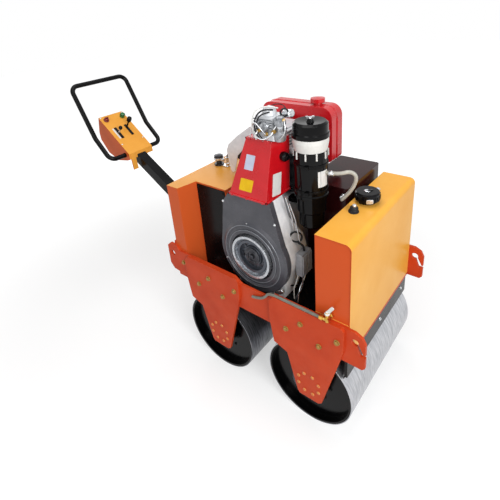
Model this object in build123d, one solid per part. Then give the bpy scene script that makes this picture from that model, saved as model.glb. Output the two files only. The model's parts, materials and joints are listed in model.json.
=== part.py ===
from build123d import *
import math
import os

os.makedirs("parts", exist_ok=True)

# Millimetres. +X is the front of the machine, +Z is up, and near means the -Y side.
# Shapes are drawn from the point on the ground midway between the drums, then shifted in
# X on export, so that the part's origin is at the middle of its bounding box, on the ground.

# rollers
DRUM_R = 200
DRUM_HALF = 310
WHEELBASE = 500
SHELL_T = 12
END_DISC_T = 12
END_RECESS = 28
BEARING_R = 58
AXLE_R = 30
FLANGE_R = 72
FLANGE_T = 12
RUN_FIT = 0.09
SEAT = 0.3

# lower frame
PLATE_T = 12
SIDE_CLEAR = 6
PLATE_IN = DRUM_HALF + SIDE_CLEAR
PLATE_OUT = PLATE_IN + PLATE_T
BEAM_T = 12
BEAM_IN = PLATE_IN - BEAM_T
BEAM_LOW = 2 * DRUM_R + 40
BEAM_TOP = BEAM_LOW + 160
BEAM_DIP = BEAM_TOP - 26
EAR_SPLIT = WHEELBASE / 2 + 140
FRONT_TIP = EAR_SPLIT + 107
REAR_TIP = -EAR_SPLIT - 158
CROSS_T = 12
DECK_Z = BEAM_LOW + 68
LEG_HALF = 168
TIE_R = 15
TIE_FRONT = (EAR_SPLIT + 68, BEAM_TOP - 46)
TIE_REAR = (-EAR_SPLIT - 126, BEAM_TOP - 30)
HOOK_GAP = 11

# bodywork
TANK_FRONT = EAR_SPLIT + 40
TANK_BACK = TANK_FRONT - 141
BODY_LOW = BEAM_LOW + CROSS_T
BODY_TOP = BODY_LOW + 493
TANK_EDGE_R = 24
SHEET_T = 3
CAP_AT = (TANK_BACK + 55, 8)
CAP_R = 48
HOUSE_REAR = -EAR_SPLIT - 102
HOUSE_STEP = HOUSE_REAR + 72
HOUSE_NECK = HOUSE_STEP + 20
HOUSE_FRONT = -216
NECK_HALF = 205
PANEL_T = 3
OIL_TOP = BODY_TOP + 40

# engine
FAN_X = -42
FAN_Z = DECK_Z + 192
FAN_R = 177
SHROUD_Y = -265
SHROUD_BACK = -229
SHROUD_TOP = FAN_Z + 275
RING_R = 100
WHEEL_CASE_R = 172
CASE_X = (-150, 40)
CASE_TOP = DECK_Z + 427
CASE_FAR = 120
COWL_TOP = SHROUD_TOP + 235
CYL_X = -30
CYL_Y = -20
FIN_T = 3
FIN_GAP = 6
FINS = 15
HEAD_LOW = CASE_TOP + 185
HEAD_BLOCK_X = (-90, 32)
CLEANER = (150, -88)
CLEANER_R = 65
CLEANER_NECK_R = 60
CLEANER_CAP_R = 72
CLEANER_LOW = DECK_Z + 326
FUEL_NEAR = 95
FUEL_FAR = 185
FUEL_X = (-215, 142)
FUEL_LOW = HEAD_LOW - 84
FUEL_TOP = FUEL_LOW + 238
MUFFLER_R = 58
MUFFLER = (-225, 15, HEAD_LOW - 35)

# handle
PIVOT_X = REAR_TIP
PIVOT_Z = BEAM_LOW + 69
ARM_ANGLE = 32.1
ARM_HALF = 29
ARM_WALL = 4
ARM_LEN = 760
PIN_R = 10
TUBE_R = 13.5
LOOP_HALF = 185
GRIP_X = PIVOT_X - 857
GRIP_Z = PIVOT_Z + 794
CROSS_X = PIVOT_X - 590
CROSS_Z = PIVOT_Z + 386
CONSOLE_HALF = 85

X_SHIFT = (-(GRIP_X - TUBE_R) - FRONT_TIP) / 2


def save(name, shape):
    """Write one node, moved from the drawing's origin to the part's origin."""
    export_step(Pos(X_SHIFT, 0, 0) * shape, f"parts/{name}.step")


def box(x0, x1, y0, y1, z0, z1):
    return Pos((x0 + x1) / 2, (y0 + y1) / 2, (z0 + z1) / 2) * Box(x1 - x0, y1 - y0, z1 - z0)


def rod_y(x, z, r, y0, y1):
    return Pos(x, (y0 + y1) / 2, z) * Rot(90, 0, 0) * Cylinder(r, y1 - y0)


def rod_x(y, z, r, x0, x1):
    return Pos((x0 + x1) / 2, y, z) * Rot(0, 90, 0) * Cylinder(r, x1 - x0)


def rod_z(x, y, r, z0, z1):
    return Pos(x, y, (z0 + z1) / 2) * Cylinder(r, z1 - z0)


def slab(points, y0, y1):
    """A side outline of (x, z) points, filled from y0 to y1."""
    face = make_face(Polyline(*[(x, y0, z) for x, z in points], close=True))
    return extrude(face, amount=y1 - y0, dir=(0, 1, 0))


def floor_slab(points, z0, z1):
    """A plan outline of (x, y) points, filled from z0 to z1."""
    return extrude(make_face(Polyline(*[(x, y, z0) for x, y in points], close=True)), amount=z1 - z0)


def front_slab(points, x0, x1):
    """A front outline of (y, z) points, filled from x0 to x1."""
    face = make_face(Polyline(*[(x0, y, z) for y, z in points], close=True))
    return extrude(face, amount=x1 - x0, dir=(1, 0, 0))


def turned(profile, x, y, z0=0):
    """A solid turned about a vertical axis at (x, y) from (radius, height) points."""
    face = make_face(Polyline(*[(r, 0, z0 + h) for r, h in profile], close=True))
    return Pos(x, y, 0) * revolve(face, Axis.Z)


def turned_y(profile, x, z):
    """A solid turned about an axis along Y at (x, z) from (radius, y) points."""
    face = make_face(Polyline(*[(r, y, 0) for r, y in profile], close=True))
    return Pos(x, 0, z) * revolve(face, Axis.Y)


def soften(shape, axis, r, pick=None):
    """Round the shape's edges along one axis, or the picked ones of them."""
    edges = shape.edges().filter_by(axis)
    return fillet(edges if pick is None else [e for e in edges if pick(e.center())], r)


def tube(points, r, bend):
    """A round rod through points, with each inner corner turned into a tangent arc."""
    pts = [Vector(*p) for p in points]
    edges, start = [], pts[0]
    for before, corner, after in zip(pts, pts[1:], pts[2:]):
        a, b = (before - corner).normalized(), (after - corner).normalized()
        half = math.acos(max(-1, min(1, a.dot(b)))) / 2
        cut = bend / math.tan(half)
        middle = corner + (a + b).normalized() * (bend / math.sin(half) - bend)
        edges += [Line(start, corner + a * cut), ThreePointArc(corner + a * cut, middle, corner + b * cut)]
        start = corner + b * cut
    edges.append(Line(start, pts[-1]))
    path = Wire([e.edges()[0] for e in edges])
    section = Plane(origin=pts[0], z_dir=pts[1] - pts[0]) * Circle(r)
    return sweep(section, path=path)


SIDES = (("near", -1), ("far", 1))
AXLES = (("front", WHEELBASE / 2), ("rear", -WHEELBASE / 2))


def span(side, y0, y1):
    """A Y span on one side of the machine, lowest value first."""
    return sorted((side * y0, side * y1))


# drums, turning on fixed axles that the leg plates hold
disc_out = DRUM_HALF - END_RECESS
for name, x in AXLES:
    drum = rod_y(x, DRUM_R, DRUM_R, -DRUM_HALF, DRUM_HALF)
    drum -= rod_y(x, DRUM_R, DRUM_R - SHELL_T, -DRUM_HALF, DRUM_HALF)
    axle = rod_y(x, DRUM_R, AXLE_R, -PLATE_IN, PLATE_IN)
    for _, side in SIDES:
        drum += rod_y(x, DRUM_R, DRUM_R - SHELL_T, *span(side, disc_out - END_DISC_T, disc_out))
        drum += rod_y(x, DRUM_R, BEARING_R, *span(side, disc_out - END_DISC_T, disc_out + 12))
        axle += rod_y(x, DRUM_R, FLANGE_R, *span(side, PLATE_IN - FLANGE_T, PLATE_IN))
    drum -= rod_y(x, DRUM_R, AXLE_R + RUN_FIT, -DRUM_HALF, DRUM_HALF)
    save(f"drum_{name}", drum)
    save(f"axle_{name}", axle)

# leg plates: (x from the axle, z)
LEG_FOOT = DRUM_R - 60
LEG = [(-LEG_HALF, BEAM_LOW + 30), (-152, BEAM_LOW - 78), (-86, BEAM_LOW - 102), (-40, LEG_FOOT + 12),
       (-30, LEG_FOOT), (58, LEG_FOOT), (74, LEG_FOOT + 12), (150, BEAM_LOW - 15), (LEG_HALF, BEAM_LOW + 60),
       (LEG_HALF, BEAM_TOP - 12), (LEG_HALF - 12, BEAM_TOP), (-LEG_HALF + 22, BEAM_TOP),
       (-LEG_HALF, BEAM_TOP - 30)]
for name, x in AXLES:
    for side_name, side in SIDES:
        plate = slab([(x + dx, z) for dx, z in LEG], *span(side, PLATE_IN, PLATE_OUT))
        save(f"leg_plate_{name}_{side_name}", plate)

# side beams behind the leg plates, with a tie-down ear at each end: (x, z)
BEAM = [(-EAR_SPLIT, BEAM_TOP), (-110, BEAM_TOP), (-72, BEAM_DIP), (70, BEAM_DIP), (100, BEAM_TOP),
        (EAR_SPLIT, BEAM_TOP), (EAR_SPLIT, BEAM_LOW), (-EAR_SPLIT, BEAM_LOW)]
FRONT_EAR = [(EAR_SPLIT, BEAM_TOP), (FRONT_TIP - 41, BEAM_TOP), (FRONT_TIP - 13, BEAM_TOP - 14),
             (FRONT_TIP, BEAM_TOP - 40), (FRONT_TIP, BEAM_LOW + 12), (FRONT_TIP - 11, BEAM_LOW),
             (EAR_SPLIT, BEAM_LOW)]
REAR_EAR = [(-EAR_SPLIT, BEAM_TOP), (REAR_TIP + 84, BEAM_TOP), (REAR_TIP + 62, BEAM_TOP + 26),
            (REAR_TIP + 22, BEAM_TOP + 26), (REAR_TIP, BEAM_TOP + 6), (REAR_TIP, BEAM_LOW + 64),
            (REAR_TIP + 24, BEAM_LOW + 34), (-EAR_SPLIT, BEAM_LOW + 20)]
for side_name, side in SIDES:
    y0, y1 = span(side, BEAM_IN, PLATE_IN)
    save(f"side_beam_{side_name}", slab(BEAM, y0, y1))
    ear = slab(FRONT_EAR, y0, y1) - rod_y(*TIE_FRONT, TIE_R, y0 - 1, y1 + 1)
    mouth_x, mouth_z = TIE_FRONT[0], TIE_FRONT[1] - 42
    mouth = slab([(mouth_x, TIE_FRONT[1]), (mouth_x + HOOK_GAP, TIE_FRONT[1]),
                  (mouth_x + 22 + HOOK_GAP, mouth_z), (FRONT_TIP + 1, mouth_z),
                  (FRONT_TIP + 1, mouth_z - HOOK_GAP), (mouth_x + 20, mouth_z - HOOK_GAP)], y0 - 1, y1 + 1)
    save(f"tie_ear_front_{side_name}", ear - mouth)
    save(f"tie_ear_rear_{side_name}", slab(REAR_EAR, y0, y1) - rod_y(*TIE_REAR, TIE_R, y0 - 1, y1 + 1))

# cross members between the beams
save("front_cross", box(TANK_BACK, TANK_FRONT, -BEAM_IN, BEAM_IN, BEAM_LOW, BODY_LOW))
rear_cross = box(HOUSE_REAR, HOUSE_REAR + 192, -BEAM_IN, BEAM_IN, BEAM_LOW, BODY_LOW)
rear_cross += box(HOUSE_REAR - CROSS_T, HOUSE_REAR, -BEAM_IN, BEAM_IN, BEAM_LOW, BEAM_TOP + 40)
save("rear_cross", rear_cross)
save("engine_deck", box(HOUSE_FRONT, TANK_BACK, -BEAM_IN, BEAM_IN, DECK_Z - CROSS_T, DECK_Z))

# scrapers: a web hung from the cross member and a blade that leans to the drum
reach, blade_t, lean = DRUM_R + 6, 6, math.radians(40)
tip = Vector(WHEELBASE / 2 + reach * math.cos(lean), 0, DRUM_R + reach * math.sin(lean))
off = Vector(math.sin(lean), 0, -math.cos(lean)) * blade_t / 2
web_x = WHEELBASE / 2 + 0.81 * DRUM_R
web_low = BEAM_LOW - 95
scraper = box(web_x, web_x + CROSS_T, -BEAM_IN, BEAM_IN, web_low, BEAM_LOW)
scraper += slab([((tip + off).X, (tip + off).Z), (web_x + 4, web_low), (web_x + 4, web_low + 9),
                 ((tip - off).X, (tip - off).Z)], -BEAM_IN, BEAM_IN)
save("scraper_front", scraper)
save("scraper_rear", mirror(scraper, about=Plane.YZ))

# front water tank: a sheet bent over the front and top between two inset side plates
tank = box(TANK_BACK, TANK_FRONT, -BEAM_IN, BEAM_IN, BODY_LOW, BODY_TOP)
tank = soften(tank, Axis.Y, TANK_EDGE_R, lambda c: c.X > TANK_FRONT - 1 and c.Z > BODY_TOP - 1)
for _, side in SIDES:
    inset = box(TANK_BACK - 1, TANK_FRONT - SHEET_T, *span(side, BEAM_IN - 2, BEAM_IN + 1),
                BEAM_TOP + 4, BODY_TOP - SHEET_T)
    tank -= soften(inset, Axis.Y, TANK_EDGE_R - SHEET_T, lambda c: c.X > TANK_BACK and c.Z > BODY_TOP - 9)
save("water_tank", tank)
lid = Pos(*CAP_AT, BODY_TOP + 14) * extrude(RegularPolygon(CAP_R, 16), amount=34)
lid = chamfer(lid.faces().sort_by(Axis.Z)[-1].edges(), 5)
save("water_cap", rod_z(*CAP_AT, 32, BODY_TOP, BODY_TOP + 14) + lid)
tap_y = -BEAM_IN - 24
tap_x, tap_z = TANK_BACK + 63, BEAM_TOP + 12
tap = rod_y(tap_x, tap_z + 10, 8, tap_y - 10, -BEAM_IN) + rod_z(tap_x, tap_y, 7, tap_z - 6, tap_z + 38)
save("water_tap", tap + rod_x(tap_y, tap_z, 5, tap_x - 34, tap_x))
hose_y, hose_z = -PLATE_IN - 6 - SEAT, BEAM_TOP + 6 + SEAT
hose_x = WHEELBASE / 2 - LEG_HALF - 8
hose = tube([(tap_x - 34 - SEAT, tap_y, tap_z), (tap_x - 60, tap_y, tap_z), (tap_x - 90, hose_y, hose_z),
             (hose_x, hose_y, hose_z), (hose_x - 16, hose_y, BEAM_TOP - 40),
             (hose_x - 82, hose_y, BEAM_TOP - 55)], 6, 14)
save("water_hose", hose)

# rear housing over the hydraulic pump, narrower beside the engine: (x, y)
HOUSE = [(HOUSE_REAR, BEAM_IN), (HOUSE_STEP, BEAM_IN), (HOUSE_NECK, NECK_HALF), (HOUSE_FRONT, NECK_HALF)]
house = floor_slab([(x, -y) for x, y in HOUSE] + HOUSE[::-1], BODY_LOW, BODY_TOP)
save("rear_housing", house)
for side_name, side in SIDES:
    panel_y = span(side, NECK_HALF, NECK_HALF + PANEL_T)
    panel = box(HOUSE_NECK + 6, HOUSE_FRONT - 4, *panel_y, BODY_LOW + 8, BODY_TOP - 8)
    save(f"side_panel_{side_name}", panel)
filler = [(0, 0), (24, 0), (24, 9), (14, 9), (14, 27), (22, 27), (22, 52), (0, 56)]
save("hydraulic_filler", turned(filler, HOUSE_REAR + 52, 0, BODY_TOP))

# hydraulic oil tank on the far side
oil = box(75, 268, -10, BEAM_IN - SEAT, DECK_Z, OIL_TOP)
save("oil_tank", soften(oil, Axis.Z, 12))

# fan shroud: a pressed cover with stepped rings round the fan's inlet
shroud = rod_y(FAN_X, FAN_Z, FAN_R, SHROUD_Y + 8, SHROUD_BACK)
shroud += slab([(FAN_X - FAN_R, FAN_Z), (FAN_X - 144, SHROUD_TOP - 50), (FAN_X - 108, SHROUD_TOP),
                (FAN_X + 104, SHROUD_TOP), (FAN_X + FAN_R, FAN_Z)], SHROUD_Y + 8, SHROUD_BACK)
steps = [(0, SHROUD_Y + 12), (0, SHROUD_Y), (124, SHROUD_Y), (126, SHROUD_Y + 3), (139, SHROUD_Y + 3),
         (141, SHROUD_Y), (146, SHROUD_Y), (FAN_R - 14, SHROUD_Y + 8), (FAN_R - 14, SHROUD_Y + 12)]
shroud += turned_y(steps, FAN_X, FAN_Z)
shroud -= rod_y(FAN_X, FAN_Z, RING_R + 10, SHROUD_Y - 1, SHROUD_Y + 24)
save("fan_shroud", shroud)

# starter pulley and fan screen: turned rings with spokes left between the air slots
pulley_y = SHROUD_Y + 24
rings = [(0, pulley_y), (0, pulley_y - 18), (44, pulley_y - 18), (48, pulley_y - 10), (66, pulley_y - 10),
         (66, pulley_y - 26), (77, pulley_y - 26), (86, pulley_y - 14), (89, pulley_y - 36),
         (RING_R, pulley_y - 36), (RING_R, pulley_y)]
pulley = turned_y(rings, FAN_X, FAN_Z)
for k in range(6):
    a = math.radians(60 * k + 15)
    pulley -= rod_y(FAN_X + 55 * math.cos(a), FAN_Z + 55 * math.sin(a), 6, pulley_y - 30, pulley_y - 4)
save("fan_pulley", pulley)

# flywheel case: the fan outline cut by a side outline that narrows at its top and foot
front_shape = rod_y(FAN_X, FAN_Z, WHEEL_CASE_R, SHROUD_BACK, -20)
front_shape += slab([(FAN_X - 128, FAN_Z), (FAN_X - 124, SHROUD_TOP - 50), (FAN_X - 104, SHROUD_TOP),
                     (FAN_X + 100, SHROUD_TOP), (FAN_X + WHEEL_CASE_R, FAN_Z), (FAN_X + 130, DECK_Z),
                     (FAN_X - 118, DECK_Z)], SHROUD_BACK, -20)
side_shape = front_slab([(SHROUD_BACK, SHROUD_TOP), (-162, SHROUD_TOP), (-158, SHROUD_TOP - 95),
                         (-100, FAN_Z + 84), (-96, FAN_Z - 86),
                         (-130, DECK_Z), (SHROUD_BACK, DECK_Z)], -205, 200)
save("flywheel_case", front_shape & side_shape)

# crankcase with a ribbed sump and the gear cover at its far end
case = box(*CASE_X, -96, CASE_FAR, DECK_Z, CASE_TOP)
case = soften(case, Axis.Z, 18, lambda c: c.Y > 0)
for k in range(6):
    x = CASE_X[0] + 20 + 28 * k
    case += box(x, x + 6, CASE_FAR, CASE_FAR + 8, DECK_Z + 20, DECK_Z + 192)
case += rod_y(-55, DECK_Z + 272, 62, CASE_FAR, CASE_FAR + 22)
save("crankcase", case)

# cowl that leads the fan's air up to the cylinder: its foot and its top, (x, y), joined by flat sides
COWL_FOOT = [(-137, -262), (53, -262), (53, -100), (-137, -100)]
COWL_HEAD = [(-80, -192), (42, -192), (62, -100), (-80, -100)]
ends = [make_face(Polyline(*[(x, y, z) for x, y in outline], close=True))
        for outline, z in ((COWL_FOOT, SHROUD_TOP), (COWL_HEAD, COWL_TOP))]
save("cowl", loft(ends, ruled=True))

# finned cylinder behind the cowl, and the finned head over both
barrel = Pos(CYL_X, CYL_Y + 10, CASE_TOP) * extrude(RegularPolygon(56, 8), amount=HEAD_LOW - CASE_TOP)
for k in range(FINS):
    z = CASE_TOP + 15 + k * (FIN_T + FIN_GAP)
    fin = box(CYL_X - 84, CYL_X + 84, -93, 70, z, z + FIN_T)
    barrel += chamfer(fin.edges().filter_by(Axis.Z), 20)
save("cylinder", barrel)
head = box(*HEAD_BLOCK_X, -90, 55, HEAD_LOW, HEAD_LOW + 30)
for k in range(6):
    z = HEAD_LOW + 30 + k * 13
    head += box(HEAD_BLOCK_X[0] - 12, HEAD_BLOCK_X[1] + 12, -92, 62, z, z + 4)
head += box(HEAD_BLOCK_X[0] + 6, HEAD_BLOCK_X[1] - 6, -82, 50, HEAD_LOW + 30, HEAD_LOW + 102)
save("cylinder_head", head)
rocker = box(-54, 60, -190, -102, COWL_TOP, COWL_TOP + 28)
rocker = soften(rocker, Axis.Z, 14)
rocker += soften(box(-44, 50, -182, -108, COWL_TOP + 28, COWL_TOP + 90), Axis.Z, 22)
rocker += turned([(0, 0), (30, 0), (24, 26), (0, 36)], 6, -146, COWL_TOP + 90)
save("rocker_cover", rocker)

# fuel tank: a side outline with its right end carried down, on two straps from the head
fuel = slab([(FUEL_X[0], FUEL_LOW + 56), (FUEL_X[0], FUEL_TOP), (FUEL_X[1], FUEL_TOP), (FUEL_X[1], FUEL_LOW),
             (FUEL_X[1] - 54, FUEL_LOW), (FUEL_X[1] - 72, FUEL_LOW + 56)], FUEL_NEAR, FUEL_FAR)
fuel = soften(fuel, Axis.Y, 48, lambda c: c.Z > FUEL_TOP - 1)
fuel = soften(fuel, Axis.Y, 16, lambda c: c.Z < FUEL_LOW + 60)
save("fuel_tank", fuel)
strap = box(-80, 20, 55, FUEL_NEAR - SEAT, HEAD_LOW + 4, HEAD_LOW + 26)
save("fuel_tank_bracket", strap)
save("fuel_tank_cap", turned([(0, 0), (20, 0), (20, 9), (31, 9), (31, 26), (0, 30)], 50, 140, FUEL_TOP))

# oil-bath air cleaner: (radius, height) outlines of its four turned pieces
bowl = [(0, 0), (44, 0), (52, 8), (52, 66), (CLEANER_NECK_R, 74), (CLEANER_NECK_R, 134), (CLEANER_R + 3, 138),
        (CLEANER_R + 3, 150), (CLEANER_R, 154), (CLEANER_R, 332), (0, 332)]
band = [(0, 332), (CLEANER_R - 1, 332), (CLEANER_R + 5, 366), (CLEANER_R + 5, 384), (0, 384)]
lid = [(0, 384), (CLEANER_CAP_R, 384), (CLEANER_CAP_R, 400), (CLEANER_CAP_R - 4, 404), (CLEANER_CAP_R - 4, 436),
       (CLEANER_CAP_R - 13, 444), (16, 440), (10, 452), (0, 452)]
for name, outline in (("air_cleaner", bowl), ("air_cleaner_band", band), ("air_cleaner_cap", lid)):
    save(name, turned(outline, *CLEANER, CLEANER_LOW))
intake_x = CLEANER[0] - CLEANER_R - SEAT
intake = rod_x(-75, HEAD_LOW + 15, 13, HEAD_BLOCK_X[1], intake_x)
save("intake_pipe", intake + box(HEAD_BLOCK_X[1], HEAD_BLOCK_X[1] + 5, -89, -56, HEAD_LOW + 1, HEAD_LOW + 29))
save("air_cleaner_bracket", box(CASE_X[1], CLEANER[0] - CLEANER_NECK_R - SEAT, -95, -62, CLEANER_LOW + 78,
                                CLEANER_LOW + 100))

# muffler with domed ends, on a pipe from the head, and the bent heat shield in front of it
mx, my, mz = MUFFLER
muffler = Cylinder(MUFFLER_R, 150)
for end in (75, -75):
    muffler += Pos(0, 0, end) * Cylinder(MUFFLER_R - 10, 12)
pipe_z, pipe_end = HEAD_LOW + 45, HEAD_BLOCK_X[0] - 12
pipe = tube([(mx + 20, my, mz + 10), (-130, my, pipe_z), (pipe_end, my, pipe_z)], 18, 30)
save("muffler", Pos(mx, my, mz) * Rot(0, 55, 0) * muffler + pipe)
SHIELD = [(-141, 267), (-186, 247), (-258, 197), (-320, 145), (-336, 111), (-319, 13), (-308, 5), (-294, 13),
          (-268, 97), (-211, 155), (-160, 205)]
shield_y = my - MUFFLER_R - SEAT
save("heat_shield", slab([(x, BODY_TOP + z) for x, z in SHIELD], shield_y - 3, shield_y))

# regulator on the flywheel case, with cooling ribs
reg_x = FAN_X + WHEEL_CASE_R + SEAT
reg = box(reg_x, reg_x + 30, -188, -118, DECK_Z + 120, DECK_Z + 226)
for k in range(6):
    reg += box(reg_x + 30, reg_x + 36, -185 + 12 * k, -181 + 12 * k, DECK_Z + 126, DECK_Z + 220)
save("regulator_box", reg)

# breather pipe from the air cleaner to the oil tank
pipe_x, pipe_z = CLEANER[0] + CLEANER_R + SEAT, CLEANER_LOW + 246
drop_z = OIL_TOP - 30
breather = tube([(pipe_x, CLEANER[1], pipe_z), (pipe_x + 50, CLEANER[1], pipe_z), (316, -66, pipe_z + 18),
                 (328, -56, pipe_z - 40), (256, -46, drop_z), (256, -10 - SEAT, drop_z)], 8, 9)
save("breather_pipe", breather)

# folding handle: bracket on the rear cross member, pin, box-section arm, tube loop and console
arm_at = Pos(PIVOT_X, 0, PIVOT_Z) * Rot(0, ARM_ANGLE, 0)
hollow = ARM_HALF - ARM_WALL
arm = arm_at * (box(-ARM_LEN, -30, -ARM_HALF, ARM_HALF, -ARM_HALF, ARM_HALF)
                - box(-ARM_LEN - 1, -60, -hollow, hollow, -hollow, hollow)
                + box(-60, 0, -ARM_HALF, ARM_HALF, -ARM_HALF, ARM_HALF) + rod_y(0, 0, ARM_HALF, -ARM_HALF, ARM_HALF))
arm -= rod_y(PIVOT_X, PIVOT_Z, PIN_R + RUN_FIT, -ARM_HALF - 1, ARM_HALF + 1)
save("handle_arm", arm)
back = HOUSE_REAR - CROSS_T
bracket = box(back - 8, back, -62, 62, PIVOT_Z - 47, PIVOT_Z + 81)
for _, side in SIDES:
    y0, y1 = span(side, ARM_HALF + 2, ARM_HALF + 12)
    bracket += box(PIVOT_X, back - 8, y0, y1, PIVOT_Z - 32, PIVOT_Z + 32) + rod_y(PIVOT_X, PIVOT_Z, 32, y0, y1)
bracket -= rod_y(PIVOT_X, PIVOT_Z, PIN_R, -70, 70)
save("handle_bracket", bracket)
save("handle_pin", rod_y(PIVOT_X, PIVOT_Z, PIN_R, -ARM_HALF - 22, ARM_HALF + 22))

# the loop starts and ends on the arm's sides: (x, z) of its near half
LOOP = [(CROSS_X, CROSS_Z), (CROSS_X - 118, CROSS_Z + 115), (GRIP_X, GRIP_Z)]
route = [(CROSS_X, -ARM_HALF, CROSS_Z)] + [(x, -LOOP_HALF, z) for x, z in LOOP]
route += [(x, LOOP_HALF, z) for x, z in LOOP[::-1]] + [(CROSS_X, ARM_HALF, CROSS_Z)]
save("handle_loop", tube(route, TUBE_R, 42))

# (x, z) of the console's side outline, from the loop's cross bar
CONSOLE = [(-212, 203), (38, 12), (42, -23), (16, -33), (-77, -49), (-174, -15), (-234, 60), (-238, 105)]
console = slab([(CROSS_X + x, CROSS_Z + z) for x, z in CONSOLE], -CONSOLE_HALF, CONSOLE_HALF)
gap = ARM_HALF + SEAT
console -= arm_at * box(-ARM_LEN - 1, 0, -gap, gap, -ARM_HALF - 90, gap)
console -= rod_y(CROSS_X, CROSS_Z, TUBE_R + SEAT, -CONSOLE_HALF - 1, CONSOLE_HALF + 1)
# two lever slots along the sloping top: (distance from the top's rear edge, y, length)
(top_x, top_z), (low_x, low_z) = CONSOLE[:2]
slope = math.degrees(math.atan2(top_z - low_z, low_x - top_x))
top_at = Pos(CROSS_X + top_x, 0, CROSS_Z + top_z) * Rot(0, slope, 0)
for s, y, length in ((150, -40, 78), (150, 32, 78)):
    console -= top_at * box(s - length / 2, s + length / 2, y - 5, y + 5, -14, 1)
TAB = [(34, 10), (40, 10), (50, -89), (44, -89)]
console += slab([(CROSS_X + x, CROSS_Z + z) for x, z in TAB], -76, -44)
save("console", console)
lever = top_at * (rod_z(128, 32, 5, -13.7, 60) + rod_z(128, 32, 13, 58, 84))
save("control_lever", lever)
knobs = top_at * (rod_z(40, 58, 15, SEAT, 22) + rod_z(34, -52, 12, SEAT, 14))
save("control_knobs", knobs)
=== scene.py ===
import json
import math
import random

import bmesh
import bpy
from mathutils import Matrix, Vector


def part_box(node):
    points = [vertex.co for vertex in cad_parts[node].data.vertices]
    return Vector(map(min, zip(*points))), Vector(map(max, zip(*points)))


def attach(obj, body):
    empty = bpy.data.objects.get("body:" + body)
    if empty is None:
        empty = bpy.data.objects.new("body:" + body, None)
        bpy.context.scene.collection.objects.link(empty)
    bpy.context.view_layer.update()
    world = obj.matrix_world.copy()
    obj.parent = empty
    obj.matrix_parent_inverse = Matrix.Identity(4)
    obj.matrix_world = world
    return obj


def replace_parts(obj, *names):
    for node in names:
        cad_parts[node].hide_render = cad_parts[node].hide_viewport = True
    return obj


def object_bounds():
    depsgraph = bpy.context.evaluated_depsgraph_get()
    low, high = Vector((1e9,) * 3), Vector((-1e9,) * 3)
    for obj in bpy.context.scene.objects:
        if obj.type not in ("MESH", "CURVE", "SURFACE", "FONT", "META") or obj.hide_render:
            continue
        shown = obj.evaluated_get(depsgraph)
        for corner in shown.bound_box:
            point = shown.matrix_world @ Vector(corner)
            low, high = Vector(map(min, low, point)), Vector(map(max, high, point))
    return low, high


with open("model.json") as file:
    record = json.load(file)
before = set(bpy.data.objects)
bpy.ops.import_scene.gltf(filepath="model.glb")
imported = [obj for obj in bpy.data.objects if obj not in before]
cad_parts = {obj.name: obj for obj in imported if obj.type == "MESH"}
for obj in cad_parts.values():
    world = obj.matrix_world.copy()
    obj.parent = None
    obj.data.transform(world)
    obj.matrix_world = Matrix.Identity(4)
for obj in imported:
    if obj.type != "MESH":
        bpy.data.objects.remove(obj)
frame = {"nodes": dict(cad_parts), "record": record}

# The drawing's own places are in millimetres, with X measured from midway between the drums.
# The front tie-down ears end 497 mm ahead of that point, which ties the drawing to the frame.
CAD_LOW, CAD_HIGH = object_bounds()
FRONT_TIP = 497
SHIFT = CAD_HIGH.x * 1000 - FRONT_TIP
TO_FRAME = Matrix.Scale(0.001, 4) @ Matrix.Translation((SHIFT, 0, 0))
SCENE = bpy.context.scene
UP, NEAR = (0, 0, 1), (0, -1, 0)
WHITE = (1, 1, 1, 1)
random.seed(5)


def box_mm(node):
    """A CAD node's lowest and highest corner in the drawing's millimetres."""
    to_drawing = TO_FRAME.inverted()
    low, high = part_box(node)
    return to_drawing @ low, to_drawing @ high


# camera: its place in mm and its angles in degrees, fitted to the photograph, whose pixels give the lens
CAMERA_AT = (918.8, -1347.4, 1730.4)
CAMERA_AZIMUTH, CAMERA_ELEVATION, CAMERA_ROLL = 40.64, 22.81, -4.70
FOCAL_PX, CENTRE_V, PHOTO_PX = 407.8, 165, 500
SENSOR_MM = 36

azimuth, elevation, roll = (math.radians(a) for a in (CAMERA_AZIMUTH, CAMERA_ELEVATION, CAMERA_ROLL))
back = Vector((math.sin(azimuth) * math.cos(elevation), -math.cos(azimuth) * math.cos(elevation),
               math.sin(elevation)))
right = (-back).cross(Vector(UP)).normalized()
up = right.cross(-back)
right, up = right * math.cos(roll) + up * math.sin(roll), up * math.cos(roll) - right * math.sin(roll)
camera = bpy.data.objects.new("camera", bpy.data.cameras.new("camera"))
SCENE.collection.objects.link(camera)
camera.matrix_world = Matrix((right, up, back)).transposed().to_4x4()
camera.location = TO_FRAME @ Vector(CAMERA_AT)
camera.data.sensor_width = SENSOR_MM
camera.data.lens = SENSOR_MM * FOCAL_PX / PHOTO_PX
camera.data.shift_y = (CENTRE_V - PHOTO_PX / 2) / PHOTO_PX
SCENE.camera = camera


# materials
def linear(code):
    """An sRGB hex colour as linear red, green, blue and alpha."""
    parts = [int(code[i:i + 2], 16) / 255 for i in (1, 3, 5)]
    return [c / 12.92 if c <= 0.04045 else ((c + 0.055) / 1.055) ** 2.4 for c in parts] + [1]


def add(tree, kind, inputs=(), **settings):
    """Add one shader node. An input given another node's output is linked to it."""
    node = tree.nodes.new("ShaderNode" + kind)
    for name, value in settings.items():
        setattr(node, name, value)
    for name, value in dict(inputs).items():
        if isinstance(value, bpy.types.NodeSocket):
            tree.links.new(value, node.inputs[name])
        else:
            node.inputs[name].default_value = value
    return node


def per_mm(size):
    """The noise scale whose patches are about this many millimetres across."""
    return 1000 / size

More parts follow.
